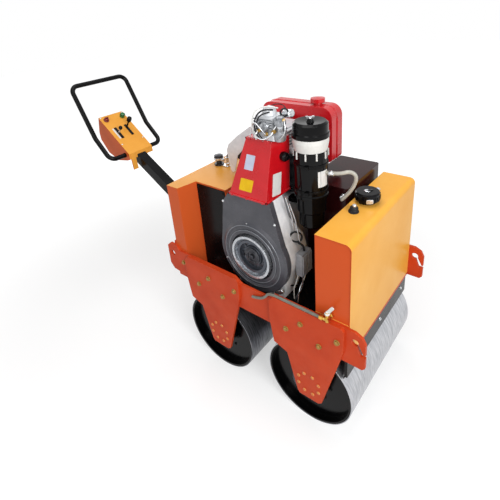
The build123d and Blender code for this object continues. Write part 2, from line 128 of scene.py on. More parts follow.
# SHEEN is the specular level of a finish that names none. Chips and patches of dust are in mm, and the
# dust thickens from DUST_TOP down to DUST_LOW, heights in metres.
SHEEN = 0.25
CHIP = 9
DUST_COLOUR, DUST_PATCH = "#A08D76", 40
DUST_TOP, DUST_LOW = 0.75, 0.05
def surface(name, colour, shade, worn_and_highlight, metal=0.0, worn_metal=0.0, rough=(0.35, 0.5), patch=90, grain=1.2,
            depth=0.02, stretch=(1, 1, 1), edge=1.5, wear_and_highlight=0.5, dust=0.0, core=None, side_shade=None, **shader):
    """A finish with blotches between two colours, paler rubbed edges that carry a painted highlight on some
    finishes, and a fine relief. Lengths are in mm.

    core gives the part inside a radius about an axis along Y another finish:
    (x, z, radius, colour, metallic, roughness). flank paints shade on the faces that look along the weighted
    axes, in another colour: (colour, (x weight, y weight, z weight)).
    """
    material = bpy.data.materials.new(name)
    material.use_nodes = True
    tree = material.node_tree
    bsdf = tree.nodes["Principled BSDF"]
    place = add(tree, "TexCoord").outputs["Object"]
    drawn = add(tree, "Mapping", {"Vector": place, "Scale": stretch}).outputs[0]
    blotch = add(tree, "TexNoise", {"Vector": drawn, "Scale": per_mm(patch), "Detail": 5, "Roughness": 0.6})
    spread = add(tree, "MapRange", {"Value": blotch.outputs["Fac"], "From Min": 0.36, "From Max": 0.66})
    relief = add(tree, "TexNoise", {"Vector": drawn, "Scale": per_mm(grain), "Detail": 3, "Roughness": 0.55})
    tone = add(tree, "MixRGB", {"Fac": spread.outputs[0], "Color1": linear(colour), "Color2": linear(shade)})

    # paler edges, rubbed thin and on the orange enamels a painted highlight, show where the rounded normal
    # leaves the flat one, broken up by small chips
    soft = add(tree, "Bevel", {"Radius": edge / 1000}, samples=4)
    flat = add(tree, "NewGeometry")
    bend = add(tree, "VectorMath", {0: soft.outputs[0], 1: flat.outputs["Normal"]}, operation="DOT_PRODUCT")
    rim = add(tree, "MapRange", {"Value": bend.outputs["Value"], "From Min": 0.995, "From Max": 0.85})
    chips = add(tree, "TexNoise", {"Vector": place, "Scale": per_mm(CHIP), "Detail": 6, "Roughness": 0.7})
    broken = add(tree, "MapRange", {"Value": chips.outputs["Fac"], "From Min": 0.50, "From Max": 0.62})
    wear_and_highlight_mask = add(tree, "Math", {0: rim.outputs[0], 1: broken.outputs[0]}, operation="MULTIPLY")
    wear_and_highlight_mask = add(tree, "Math", {0: wear_and_highlight_mask.outputs[0], 1: wear_and_highlight}, operation="MULTIPLY", use_clamp=True)
    tone = add(tree, "MixRGB", {"Fac": wear_and_highlight_mask.outputs[0], "Color1": tone.outputs[0], "Color2": linear(worn_and_highlight)})
    gloss = add(tree, "MapRange", {"Value": blotch.outputs["Fac"], "From Min": 0.3, "From Max": 0.7,
                                   "To Min": rough[0], "To Max": rough[1]}).outputs[0]
    shine = add(tree, "MapRange", {"Value": wear_and_highlight_mask.outputs[0], "To Min": metal,
                                   "To Max": worn_metal}).outputs[0]

    if dust:
        # a film of dust lies in patches low on the machine and fades out higher up
        parts = add(tree, "SeparateXYZ", {0: place})
        low = add(tree, "MapRange", {"Value": parts.outputs[2], "From Min": DUST_TOP, "From Max": DUST_LOW,
                                     "To Max": dust})
        film = add(tree, "TexNoise", {"Vector": place, "Scale": per_mm(DUST_PATCH), "Detail": 7,
                                      "Roughness": 0.7})
        film = add(tree, "MapRange", {"Value": film.outputs["Fac"], "From Min": 0.42, "From Max": 0.72})
        film = add(tree, "Math", {0: film.outputs[0], 1: low.outputs[0]}, operation="MULTIPLY")
        tone = add(tree, "MixRGB", {"Fac": film.outputs[0], "Color1": tone.outputs[0],
                                    "Color2": linear(DUST_COLOUR)})
    # painted shade: faces that look along the weighted axes take another colour
    if side_shade:
        side_shade_colour, weights = side_shade
        normal = add(tree, "TexCoord").outputs["Normal"]
        leaning = add(tree, "VectorMath", {0: normal}, operation="ABSOLUTE")
        leaning = add(tree, "VectorMath", {0: leaning.outputs[0], 1: weights}, operation="DOT_PRODUCT")
        turned = add(tree, "MapRange", {"Value": leaning.outputs["Value"], "From Min": 0.55,
                                        "From Max": 0.85})
        tone = add(tree, "MixRGB", {"Fac": turned.outputs[0], "Color1": tone.outputs[0],
                                    "Color2": linear(side_shade_colour)})
    colour_out = tone.outputs[0]
    if core:
        x, z, radius, core_colour, core_metal, core_rough = core
        centre = TO_FRAME @ Vector((x, 0, z))
        offset = add(tree, "VectorMath", {0: place, 1: centre}, operation="SUBTRACT")
        offset = add(tree, "VectorMath", {0: offset.outputs[0], 1: (1, 0, 1)}, operation="MULTIPLY")
        reach = add(tree, "VectorMath", {0: offset.outputs[0]}, operation="LENGTH")
        inside = add(tree, "Math", {0: reach.outputs["Value"], 1: radius / 1000}, operation="LESS_THAN")
        inside = inside.outputs[0]
        colour_out = add(tree, "MixRGB", {"Fac": inside, "Color1": colour_out,
                                          "Color2": linear(core_colour)}).outputs[0]
        gloss = add(tree, "Mix", {0: inside, 2: gloss, 3: core_rough}).outputs[0]
        shine = add(tree, "Mix", {0: inside, 2: shine, 3: core_metal}).outputs[0]
    bump = add(tree, "Bump", {"Height": relief.outputs["Fac"], "Normal": soft.outputs[0],
                              "Distance": depth / 1000, "Strength": 0.6})
    tree.links.new(colour_out, bsdf.inputs["Base Color"])
    tree.links.new(gloss, bsdf.inputs["Roughness"])
    tree.links.new(shine, bsdf.inputs["Metallic"])
    tree.links.new(bump.outputs[0], bsdf.inputs["Normal"])
    for socket, value in {"Specular_IOR_Level": SHEEN, **shader}.items():
        bsdf.inputs[socket.replace("_", " ")].default_value = value
    return material


AXLE_X = {"front": 250, "rear": -250}
DRUM_R, DRUM_RIM = 200, 3.5
FAN, CUP_R = (-42, 700), 80

FINISHES = {
    # orange-yellow gloss enamel sprayed on welded sheet: soft highlights and a faint orange-peel relief. Its
    # redder faces that look along Y are painted shade, and its paler edges a painted highlight
    "body_paint": surface("orange_enamel_with_painted_shade_and_highlight", "#E8A443", "#DF9838", "#F4C070", rough=(0.3, 0.4),
                          patch=260, grain=4, depth=0.04, edge=3, wear_and_highlight=0.5, side_shade=("#CC5A26", (0, 1, 0)),
                          Specular_IOR_Level=0.15),
    # the same enamel on the water tank, whose end sheets are redder as painted shade, and whose paler edges
    # are a painted highlight
    "tank_paint": surface("orange_enamel_with_painted_shade_on_ends", "#EEB04A", "#E8A63E", "#FBCB80",
                          rough=(0.3, 0.4), patch=260, grain=4, depth=0.04, edge=3, wear_and_highlight=0.6,
                          side_shade=("#CA5122", (0, 1, 0)), Specular_IOR_Level=0.15),
    # and on the rear housing, darker all over as painted shade, with every upright sheet redder as painted
    # shade and paler edges as a painted highlight
    "housing_paint": surface("orange_enamel_with_painted_shade_on_walls", "#DE9C40", "#D49136", "#F0B868",
                             rough=(0.3, 0.4), patch=260, grain=4, depth=0.04, edge=3, wear_and_highlight=0.6,
                             side_shade=("#C95626", (1, 1, 0)), Specular_IOR_Level=0.15),
    # redder enamel on the thick frame plates, dusty low down, paler along the cut edges in rubbed chips that
    # carry a painted highlight
    "frame_paint": surface("red_orange_enamel_on_plate", "#C6431C", "#B93A17", "#EFA070", rough=(0.38, 0.5),
                           patch=150, grain=4, depth=0.06, edge=2.5, wear_and_highlight=0.7, dust=0.08,
                           Specular_IOR_Level=0.15),
    # brushed black enamel on the arms and brackets, thin at the edges
    "black_paint": surface("black_enamel_on_steel", "#050506", "#09090A", "#4A4642", worn_metal=0.6,
                           rough=(0.2, 0.3), patch=70, grain=2, depth=0.03, edge=1.5, wear_and_highlight=0.35, dust=0.04,
                           Specular_IOR_Level=0.12),
    # the oil tank's gloss black top shows a maroon cast, a painted red reflection
    "oil_tank_paint": surface("black_enamel_with_painted_red_reflection", "#2E0B0C", "#200809", "#5A2A1C",
                              rough=(0.12, 0.2), patch=120, grain=3, depth=0.03, edge=2, wear_and_highlight=0.3,
                              Specular_IOR_Level=0.15),
    # moulded black polyamide, smooth with soft highlights
    "black_plastic": surface("moulded_black_polyamide", "#050506", "#08080A", "#242426", rough=(0.18, 0.28),
                             patch=50, grain=0.9, depth=0.02, edge=1.2, wear_and_highlight=0.2, Specular_IOR_Level=0.15),
    # stoved gloss black on the air cleaner's pressed steel: deep, with sharp long highlights
    "stoved_black": surface("stoved_gloss_black", "#030304", "#060607", "#2A2A2C", rough=(0.08, 0.14),
                            patch=60, grain=2, depth=0.01, edge=1.5, wear_and_highlight=0.2, Specular_IOR_Level=0.15),
    # turned brass of the tap, dulled in the recesses
    "brass": surface("turned_brass", "#D8B25E", "#B98F3F", "#F2D88F", metal=1.0, worn_metal=1.0,
                     rough=(0.22, 0.4), patch=14, grain=0.6, depth=0.01, edge=0.8, wear_and_highlight=0.6),
    # pressed aluminised sheet of the heat shield, pale and soft
    "bright_metal": surface("aluminised_sheet", "#EBECEE", "#D8DADD", "#F6F7F8", metal=0.12, worn_metal=0.9,
                            rough=(0.25, 0.4), patch=40, grain=1.5, depth=0.02, edge=1, wear_and_highlight=0.5,
                            Specular_IOR_Level=0.5),
    # pressure die-cast aluminium: pale matt grey with a fine pebbled skin
    "cast_alloy": surface("die_cast_aluminium", "#DDDFE2", "#C4C7CB", "#F2F3F4", metal=0.2, worn_metal=0.9,
                          rough=(0.3, 0.5), patch=35, grain=1.8, depth=0.12, edge=2.5, wear_and_highlight=0.6,
                          Specular_IOR_Level=0.5),
    # the same metal on the flywheel case, painted almost white: painted light on a face in the tank's shadow
    "painted_lit_alloy": surface("die_cast_aluminium_painted_lit", "#F0F1F3", "#DCDEE1", "#FAFAFB", metal=0.05,
                             worn_metal=0.8, rough=(0.3, 0.45), patch=45, grain=2.2, depth=0.15, edge=2.5,
                             wear_and_highlight=0.6, Specular_IOR_Level=0.5),
    # the valve gear's castings are duller, oily in the hollows
    "oily_alloy": surface("oily_die_cast_aluminium", "#AEB1B5", "#5D6065", "#ECEDEF", metal=0.6,
                          worn_metal=1.0, rough=(0.22, 0.4), patch=16, grain=1.4, depth=0.08, edge=1.2,
                          wear_and_highlight=0.9, Specular_IOR_Level=0.5),
    # the same metal in the regulator's finned case, duller from its heat
    "finned_alloy": surface("dull_finned_aluminium", "#B2B5BA", "#9DA0A6", "#DDDFE2", metal=0.4,
                            worn_metal=0.9, rough=(0.35, 0.5), patch=25, grain=1.6, depth=0.1, edge=1.2,
                            wear_and_highlight=0.8),
    # sand-cast iron of the finned barrel, dark and dry
    "cast_iron": surface("sand_cast_iron", "#45464A", "#2E2F33", "#77787C", metal=0.5, worn_metal=0.8,
                         rough=(0.5, 0.7), patch=30, grain=1.4, depth=0.15, edge=1, wear_and_highlight=0.5),
    # oiled mild steel of pins and axles
    "dark_steel": surface("oiled_mild_steel", "#4C4D51", "#323338", "#8D8E92", metal=0.9, worn_metal=1.0,
                          rough=(0.3, 0.5), patch=20, grain=1, depth=0.03, edge=1, wear_and_highlight=0.6),
    # red gloss enamel on the cowl and the fuel tank, thick and wet-looking over pressed sheet
    "engine_paint": surface("red_enamel_on_pressed_sheet", "#C8131D", "#B80D16", "#E2606A", rough=(0.2, 0.3),
                            patch=120, grain=3.5, depth=0.03, edge=3, wear_and_highlight=0.4, Coat_Weight=0.2,
                            Coat_Roughness=0.1, Specular_IOR_Level=0.4),
    # blue-grey satin enamel over the pressed fan cover
    "grey_paint": surface("grey_satin_enamel", "#4B4B51", "#3E3F45", "#A0A2A8", worn_metal=0.6,
                          rough=(0.24, 0.36), patch=80, grain=2.5, depth=0.04, edge=2, wear_and_highlight=0.7,
                          Coat_Weight=0.2, Coat_Roughness=0.2),
    # the pressed ridges on it, rubbed lighter
    "ridge_paint": surface("rubbed_grey_enamel", "#85888E", "#6E7177", "#C0C2C6", metal=0.3, worn_metal=0.6,
                           rough=(0.3, 0.42), patch=30, grain=2, depth=0.02, edge=1, wear_and_highlight=0.6),
    # braided hose in a pale plastic cover, slightly waxy
    "grey_pipe": surface("pale_grey_pvc", "#B9B6AC", "#A5A298", "#CFCCC2", rough=(0.3, 0.45), patch=30,
                         grain=1.5, depth=0.03, edge=1, wear_and_highlight=0.2, Coat_Weight=0.15),
    # thinner clear-grey hose of the spray line
    "spray_hose": surface("smoky_pvc", "#77786F", "#66675F", "#94958C", rough=(0.25, 0.4), patch=30,
                          grain=1.5, depth=0.03, edge=1, wear_and_highlight=0.2, Coat_Weight=0.2),
    # heat-proof black paint on the muffler, chalky and browned
    "heat_paint": surface("heat_proof_black_paint", "#26221F", "#3A2C24", "#6C4A35", metal=0.2,
                          worn_metal=0.5, rough=(0.55, 0.75), patch=45, grain=1.6, depth=0.08, edge=2,
                          wear_and_highlight=0.6),
    # moulded white polypropylene band of the air cleaner
    "white_plastic": surface("moulded_white_polypropylene", "#DEDEDA", "#D0D0CC", "#EDEDEA",
                             rough=(0.3, 0.42), patch=40, grain=1, depth=0.02, edge=1.2, wear_and_highlight=0.2),
    # yellow-passivated zinc on bolts: thin iridescent gold over bright steel
    "zinc": surface("yellow_zinc_plate", "#A88748", "#8A6C36", "#E2CF9C", metal=0.75, worn_metal=1.0,
                    rough=(0.28, 0.45), patch=8, grain=0.8, depth=0.02, edge=0.8, wear_and_highlight=0.5),
    # the same screws with the frame's orange paint rubbed off their crowns
    "painted_zinc": surface("orange_painted_zinc", "#D8673A", "#C9A45C", "#F2DDB8", metal=0.3,
                            worn_metal=0.9, rough=(0.28, 0.4), patch=5, grain=0.8, depth=0.02, edge=0.8,
                            wear_and_highlight=0.9),
    # bright nickel plate on rings, nuts and fuel pipes
    "nickel": surface("bright_nickel_plate", "#D8DADC", "#BEC1C5", "#F4F5F6", metal=0.9, worn_metal=1.0,
                      rough=(0.14, 0.28), patch=12, grain=0.8, depth=0.01, edge=0.8, wear_and_highlight=0.4),
    # black nitrile rubber on hoses and washers
    "rubber": surface("black_nitrile_rubber", "#131315", "#1B1B1E", "#2D2D31", rough=(0.45, 0.6), patch=20,
                      grain=0.8, depth=0.03, edge=0.8, wear_and_highlight=0.3),
    # blank vinyl plates
    "white_vinyl": surface("white_vinyl", "#E2E2E0", "#D6D6D4", "#EEEEEC", rough=(0.25, 0.35), patch=30,
                           grain=1.2, depth=0.01, edge=0.5, wear_and_highlight=0.2),
    "blue_grey_vinyl": surface("blue_grey_vinyl", "#BFC4D6", "#B2B8CC", "#D6DAE6", rough=(0.25, 0.35),
                               patch=30, grain=1.2, depth=0.01, edge=0.5, wear_and_highlight=0.2),
    "yellow_vinyl": surface("yellow_vinyl", "#E2B614", "#D6A90E", "#EFD050", rough=(0.25, 0.35), patch=30,
                            grain=1.2, depth=0.01, edge=0.5, wear_and_highlight=0.2),
    # phenolic knobs: hard, glossy, evenly coloured
    "green_phenolic": surface("green_phenolic", "#1B6F35", "#155C2B", "#3A9A55", rough=(0.15, 0.25),
                              patch=12, grain=0.8, depth=0.01, edge=0.8, wear_and_highlight=0.3, Coat_Weight=0.4),
    "red_phenolic": surface("red_phenolic", "#7E1212", "#6A0E0E", "#B03030", rough=(0.15, 0.25), patch=12,
                            grain=0.8, depth=0.01, edge=0.8, wear_and_highlight=0.3, Coat_Weight=0.4),
    # turned steel of the starter ring, bright round a darker cup
    "starter_ring": surface("turned_starter_ring", "#C9CCD0", "#A6AAB0", "#F0F1F3", metal=0.85,
                            worn_metal=1.0, rough=(0.2, 0.34), patch=18, grain=1, depth=0.02, edge=1,
                            wear_and_highlight=0.5, core=(*FAN, CUP_R, "#50545C", 0.7, 0.3), Specular_IOR_Level=0.5),
}
# the front drum is rubbed bright; the rear one between the legs is darker, painted shade
DRUM_TONES_REAR_SHADED = {"front": ("#C8C9CD", "#A2A4A9"), "rear": ("#85868B", "#4E4F54")}
for end, x in AXLE_X.items():
    # rolled plate rubbed bright by the ground in bands round the drum; its dished ends are gloss black
    FINISHES[f"drum_{end}"] = surface(
        f"rolled_drum_plate_{end}", *DRUM_TONES_REAR_SHADED[end], "#DDDEE0", metal=0.9, worn_metal=1.0,
        rough=(0.3, 0.44), patch=70, grain=3, depth=0.1, stretch=(1, 9, 1), edge=1, wear_and_highlight=0.3,
        core=(x, DRUM_R, DRUM_R - DRUM_RIM, "#030304", 0.0, 0.2), Specular_IOR_Level=0.12)

# nodes whose finish isn't their slot's usual one
OWN_FINISH = {"fan_pulley": "starter_ring", "drum_front": "drum_front", "drum_rear": "drum_rear",
              "water_tank": "tank_paint", "rear_housing": "housing_paint", "oil_tank": "oil_tank_paint",
              "regulator_box": "finned_alloy", "air_cleaner": "stoved_black",
              "air_cleaner_cap": "stoved_black", "water_hose": "spray_hose",
              "flywheel_case": "painted_lit_alloy"}
for row in frame["record"]["subparts"]:
    mesh = frame["nodes"][row["node"]].data
    mesh.materials.clear()
    mesh.materials.append(FINISHES[OWN_FINISH.get(row["node"], row["material_slot"])])
SHARP_FROM = 35


# shapes, drawn in the drawing's millimetres
def facing(centre, axis, spin=0.0):
    """The matrix that stands a shape drawn along +Z on a centre, along an axis."""
    turn = Vector(axis).to_track_quat("Z", "Y").to_matrix().to_4x4()
    return Matrix.Translation(centre) @ turn @ Matrix.Rotation(spin, 4, "Z")


def swing(degrees, axis):
    """The matrix of a turn about one axis."""
    return Matrix.Rotation(math.radians(degrees), 4, axis)


# stands a flat outline on its edge, its Y upwards
ON_EDGE = swing(90, "X")


def on_circle(x, y, z, r, a):
    """The point at angle a on a circle about an axis along Y."""
    return x + r * math.cos(a), y, z + r * math.sin(a)


def on_wall(centre, z, r, a):
    """The point at angle a and height z on the wall of an upright cylinder."""
    return centre[0] + r * math.cos(a), centre[1] + r * math.sin(a), z


def turn_outline(bm, outline, where, steps=24, ring=False):
    """Turn (radius, height) points about Z, then carry them to where. A ring's outline closes on itself."""
    rings = []
    for r, h in outline:
        count = 1 if r < 1e-3 else steps
        rings.append([bm.verts.new(where @ Vector((r * math.cos(a), r * math.sin(a), h)))
                      for a in (math.tau * k / steps for k in range(count))])
    pairs = list(zip(rings, rings[1:])) + ([(rings[-1], rings[0])] if ring else [])
    for low, high in pairs:
        for k in range(steps):
            n = k + 1
            ends = [low[k % len(low)], low[n % len(low)], high[n % len(high)], high[k % len(high)]]
            face = list(dict.fromkeys(ends))
            if len(face) > 2:
                bm.faces.new(face)
    for end in () if ring else (rings[0], rings[-1]):
        if len(end) > 2:
            bm.faces.new(end)


def block(bm, size, where):
    """A cuboid of the given size centred on where."""
    bmesh.ops.create_cube(bm, size=1, matrix=where @ Matrix.Diagonal((*size, 1)))


def extrude_outline(bm, points, thick, where, lift=0.0):
    """A flat outline of (x, y) points given a thickness along Z."""
    low = [bm.verts.new(where @ Vector((x, y, lift))) for x, y in points]
    high = [bm.verts.new(where @ Vector((x, y, lift + thick))) for x, y in points]
    bm.faces.new(low[::-1])
    bm.faces.new(high)
    for k in range(len(points)):
        n = (k + 1) % len(points)
        bm.faces.new((low[k], low[n], high[n], high[k]))


def rounded(width, height, r, steps=5):
    """The points of a rectangle with rounded corners, centred on zero."""
    points = []
    for sx, sy, start in ((1, 1, 0), (-1, 1, 90), (-1, -1, 180), (1, -1, 270)):
        for k in range(steps + 1):
            a = math.radians(start + 90 * k / steps)
            points.append((sx * (width / 2 - r) + r * math.cos(a), sy * (height / 2 - r) + r * math.sin(a)))
    return points


def stand(name, mesh, finish, body):
    """Put a mesh in the scene as a named piece that rides on a body."""
    mesh.materials.clear()
    mesh.materials.append(FINISHES[finish])
    mesh.shade_smooth()
    obj = bpy.data.objects.new(name, mesh)
    SCENE.collection.objects.link(obj)
    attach(obj, body)
    return obj


def piece(name, bm, finish, body, bevel=0.0):
    """Finish a shape drawn in mm as a named piece that rides on a body."""
    bmesh.ops.recalc_face_normals(bm, faces=bm.faces)
    bm.transform(TO_FRAME)
    mesh = bpy.data.meshes.new(name)
    bm.to_mesh(mesh)
    bm.free()
    obj = stand(name, mesh, finish, body)
    mesh.set_sharp_from_angle(angle=math.radians(SHARP_FROM))
    if bevel:
        edge = obj.modifiers.new("edge", "BEVEL")
        edge.width, edge.segments, edge.limit_method = bevel / 1000, 2, "ANGLE"


def routed(name, points, r, finish, body, closed=False):
    """A round bar, pipe or wire along a smooth line near the points."""
    curve = bpy.data.curves.new(name + "_line", "CURVE")
    curve.dimensions, curve.resolution_u = "3D", 10
    curve.bevel_depth, curve.bevel_resolution, curve.use_fill_caps = r / 1000, 3, True
    spline = curve.splines.new("NURBS")
    spline.points.add(len(points) - 1)
    for point, p in zip(spline.points, points):
        point.co = (*(TO_FRAME @ Vector(p)), 1)
    spline.order_u = 3
    spline.use_endpoint_u = not closed
    spline.use_cyclic_u = closed
    holder = bpy.data.objects.new(name + "_line", curve)
    SCENE.collection.objects.link(holder)
    bpy.context.view_layer.update()
    mesh = bpy.data.meshes.new_from_object(holder.evaluated_get(bpy.context.evaluated_depsgraph_get()))
    bpy.data.objects.remove(holder)
    return stand(name, mesh, finish, body)


def flange_bolt(bm, centre, axis, size):
    """A hex head on a round flange; size is the thread's diameter in mm."""
    where = facing(centre, axis, random.uniform(0, 1))
    turn_outline(bm, [(size, 0), (size, size * 0.12), (size * 0.86, size * 0.2), (0, size * 0.2)], where, 20)
    turn_outline(bm, [(size * 0.82, size * 0.2), (size * 0.82, size * 0.6), (size * 0.7, size * 0.72),
                      (0, size * 0.72)], where, 6)


def button_screw(bm, centre, axis, r):
    """A low domed head with a socket."""
    where = facing(centre, axis)
    turn_outline(bm, [(r, 0), (r * 0.94, r * 0.3), (r * 0.6, r * 0.52), (r * 0.4, r * 0.55),
                      (r * 0.38, r * 0.2), (0, r * 0.2)], where, 14)


def flush_screw(bm, centre, axis, r):
    """A countersunk head level with its plate, with a socket."""
    where = facing(centre, axis)
    turn_outline(bm, [(r, -1), (r, 0.3), (r * 0.45, 0.3), (r * 0.42, -0.5), (0, -0.5)], where, 18)


# frame: bolts through the leg plates, axle rings, ears
plate_near, plate_far = box_mm("leg_plate_front_near")[0].y, box_mm("leg_plate_front_far")[1].y
ear_near, ear_far = box_mm("tie_ear_rear_near")[0].y, box_mm("tie_ear_rear_far")[1].y
PLATE_BOLTS, PLATE_BOLT = [(-86, 468), (-16, 529), (66, 463), (142, 528)], 12
RING_AT, RING_R, RING_COUNT, RING_SCREW = (14, 224), 51, 8, 8
EAR_BOLT_AT, EAR_BOLT = (-442, 542), 12
bolts, rings = bmesh.new(), bmesh.new()
for side, face, plate_head, ring_head in ((-1, plate_near, flange_bolt, button_screw),
                                          (1, plate_far, flush_screw, flush_screw)):
    for x in AXLE_X.values():
        for dx, z in PLATE_BOLTS:
            plate_head(bolts, (x + dx, face, z), (0, side, 0), PLATE_BOLT)
        for k in range(RING_COUNT):
            at = on_circle(x + RING_AT[0], face, RING_AT[1], RING_R, math.tau * (k + 0.5) / RING_COUNT)
            ring_head(rings, at, (0, side, 0), RING_SCREW)
for side, face in ((-1, ear_near), (1, ear_far)):
    flange_bolt(bolts, (EAR_BOLT_AT[0], face, EAR_BOLT_AT[1]), (0, side, 0), EAR_BOLT)
piece("plate_bolts", bolts, "zinc", "machine")
piece("axle_ring_screws", rings, "painted_zinc", "machine")

# bolts of the hubs in the drums' dished ends
HUB_BOLTS, HUB_BOLT_R, HUB_FACE = 8, 92, 282
for end, x in AXLE_X.items():
    hub = bmesh.new()
    for side in (-1, 1):
        for k in range(HUB_BOLTS):
            at = on_circle(x, side * HUB_FACE, DRUM_R, HUB_BOLT_R, math.tau * k / HUB_BOLTS)
            flange_bolt(hub, at, (0, side, 0), 8)
    piece(f"drum_{end}_hub_bolts", hub, "black_paint", f"{end}_drum")

# water tank: the cap's bail, latch, grip and lock, the vent, the tap's lever and nuts
cap_low, cap_high = box_mm("water_cap")
cap_at = (cap_low + cap_high) / 2
CAP_R = (cap_high.x - cap_low.x) / 2
tank_top = box_mm("water_tank")[1].z
BAIL_R, BAIL_RISE, BAIL_FOOT, BAIL_WIDE, BAIL_STEPS = 49.5, 44, 8, 12, 18
bail = bmesh.new()
arc = [(BAIL_R * math.cos(math.radians(a)), BAIL_FOOT + BAIL_RISE * math.sin(math.radians(a)))
       for a in (180 * k / BAIL_STEPS for k in range(BAIL_STEPS + 1))]
inner = [(p * 0.95, BAIL_FOOT + (h - BAIL_FOOT) * 0.92) for p, h in arc[::-1]]
bail_at = Matrix.Translation((cap_at.x + 6, cap_at.y, tank_top)) @ swing(70, "Z") @ ON_EDGE
extrude_outline(bail, arc + inner, BAIL_WIDE, bail_at, -BAIL_WIDE / 2)
piece("cap_bail", bail, "black_plastic", "machine", bevel=1)

latch = bmesh.new()
turn_outline(latch, [(9, 0), (9, 4), (6, 6), (6, 16), (10, 18), (10, 26), (6, 30), (0, 30)],
             facing((cap_at.x + 10, cap_at.y + 74, tank_top), UP), 20)
block(latch, (16, 34, 4), Matrix.Translation((cap_at.x + 10, cap_at.y + 60, tank_top + 26)))
piece("cap_latch", latch, "nickel", "machine", bevel=0.8)

GRIPS = 26
grip = bmesh.new()
for k in range(GRIPS):
    a = math.tau * k / GRIPS
    where = facing(on_wall(cap_at, cap_at.z + 3, CAP_R, a), (math.cos(a), math.sin(a), 0))
    extrude_outline(grip, rounded(14, 4.4, 1.8, 2), 2.2, where @ swing(90, "Z"), -0.8)
piece("cap_grip", grip, "black_plastic", "machine", bevel=0.5)
HASP_SIDE = (0.55, -0.84)
lock = bmesh.new()
turn_outline(lock, [(12, -2), (12, 2), (9, 3.4), (4, 3.4), (4, 1), (0, 1)],
             facing((cap_at.x, cap_at.y - 4, cap_high.z), UP), 24)
hasp_at = (cap_at.x + CAP_R * HASP_SIDE[0], cap_at.y + CAP_R * HASP_SIDE[1], cap_at.z)
extrude_outline(lock, rounded(26, 18, 3), 2.5, facing(hasp_at, (*HASP_SIDE, 0)), 0.5)
piece("cap_lock", lock, "nickel", "machine", bevel=0.5)

VENT_AT, VENT_LEAN = (334, -92), (0.15, -0.1, 1)
vent = facing((*VENT_AT, tank_top), VENT_LEAN)
boot = bmesh.new()
turn_outline(boot, [(20, 0), (20, 4), (15, 7), (17, 11), (14, 15), (16, 19), (12, 24), (0, 24)], vent, 24)
piece("vent_boot", boot, "rubber", "machine")
vent_tip = bmesh.new()
turn_outline(vent_tip, [(8, 23), (8, 31), (5, 34), (0, 34)], vent, 12)
piece("tank_vent", vent_tip, "nickel", "machine")

tap_low, tap_high = box_mm("water_tap")
TAP_X, HOSE_JOINT_Z, TANK_JOINT = 352, 612, (-302, 622)
tap_y = tap_low.y + 10
tap_lever = bmesh.new()
lever_at = Matrix.Translation((TAP_X + 12, tap_y, tap_high.z + 14)) @ swing(34, "Y") @ ON_EDGE
extrude_outline(tap_lever, rounded(13, 44, 5), 3, lever_at, -1.5)
turn_outline(tap_lever, [(10, -10), (10, -4), (6, -2), (6, 2), (0, 2)],
             facing((TAP_X, tap_y, tap_high.z), UP), 12)
piece("tap_lever", tap_lever, "white_plastic", "machine", bevel=1)
nuts = bmesh.new()
turn_outline(nuts, [(8, 0), (9.8, 2), (9.8, 12), (8, 14), (0, 14)],
             facing((TAP_X - 18, tap_y, HOSE_JOINT_Z), (-1, 0, 0)), 6)
turn_outline(nuts, [(12, 0), (14, 2), (14, 9), (12, 11), (0, 11)], facing((TAP_X, *TANK_JOINT), NEAR), 6)
piece("tap_nuts", nuts, "brass", "machine")

# engine: the shroud's bolts, tabs and ridges, the starter's hub and cup, plates and flanges of the cowl
shroud_face = box_mm("fan_shroud")[0].y
SHROUD_BOLTS = [(-184, 926), (-196, 632), (84, 892), (-60, 852)]
shroud_fix = bmesh.new()
for x, z in SHROUD_BOLTS:
    flange_bolt(shroud_fix, (x, shroud_face + 8, z), NEAR, 5.5)
piece("shroud_bolts", shroud_fix, "nickel", "machine")

tabs = bmesh.new()
for centre, lean, size in (((88, shroud_face + 10, 566), -36, (46, 12, 18)),
                           ((-160, shroud_face + 12, 572), 40, (26, 8, 12))):
    block(tabs, size, Matrix.Translation(centre) @ swing(lean, "Y"))
piece("shroud_tabs", tabs, "nickel", "machine", bevel=1.5)

RIDGE_RADII = (125, 147)
ridges = bmesh.new()
for r in RIDGE_RADII:
    turn_outline(ridges, [(r - 1.8, 0), (r - 1, 1.4), (r + 1, 1.4), (r + 1.8, 0)],
                 facing((FAN[0], shroud_face, FAN[1]), NEAR), 96, True)
piece("shroud_ridges", ridges, "ridge_paint", "machine")

pulley_back = box_mm("fan_pulley")[1].y
STARTER_BOLTS, STARTER_BOLT_R = 6, 29
starter_face = pulley_back - 18
starter = bmesh.new()
turn_outline(starter, [(40, 0), (40, 5), (34, 8), (22, 8), (20, 4), (12, 4), (12, 12), (9, 14), (0, 14)],
             facing((FAN[0], starter_face, FAN[1]), NEAR), 40)
for k in range(STARTER_BOLTS):
    at = on_circle(FAN[0], starter_face - 8, FAN[1], STARTER_BOLT_R, math.tau * k / STARTER_BOLTS)
    flange_bolt(starter, at, NEAR, 5)
piece("starter_hub", starter, "dark_steel", "machine")
CUP_FINS, CUP_FIN_R = 18, 56
cup = bmesh.new()
for k in range(CUP_FINS):
    a = math.tau * k / CUP_FINS
    where = facing(on_circle(FAN[0], pulley_back - 10, FAN[1], CUP_FIN_R, a), NEAR)
    extrude_outline(cup, rounded(3.5, 13, 1.5, 2), 2.5, where @ Matrix.Rotation(math.pi / 2 - a, 4, "Z"))
piece("starter_cup_fins", cup, "dark_steel", "machine")

# the cowl's near corners as (x, y) at its foot and its top, and the Y of its back
COWL_LOW, COWL_HIGH = ((-137, -262), (53, -262)), ((-80, -192), (42, -192))
COWL_BACK = -100
COWL_TOP_BACK_X = 62
cowl_low, cowl_high = box_mm("cowl")


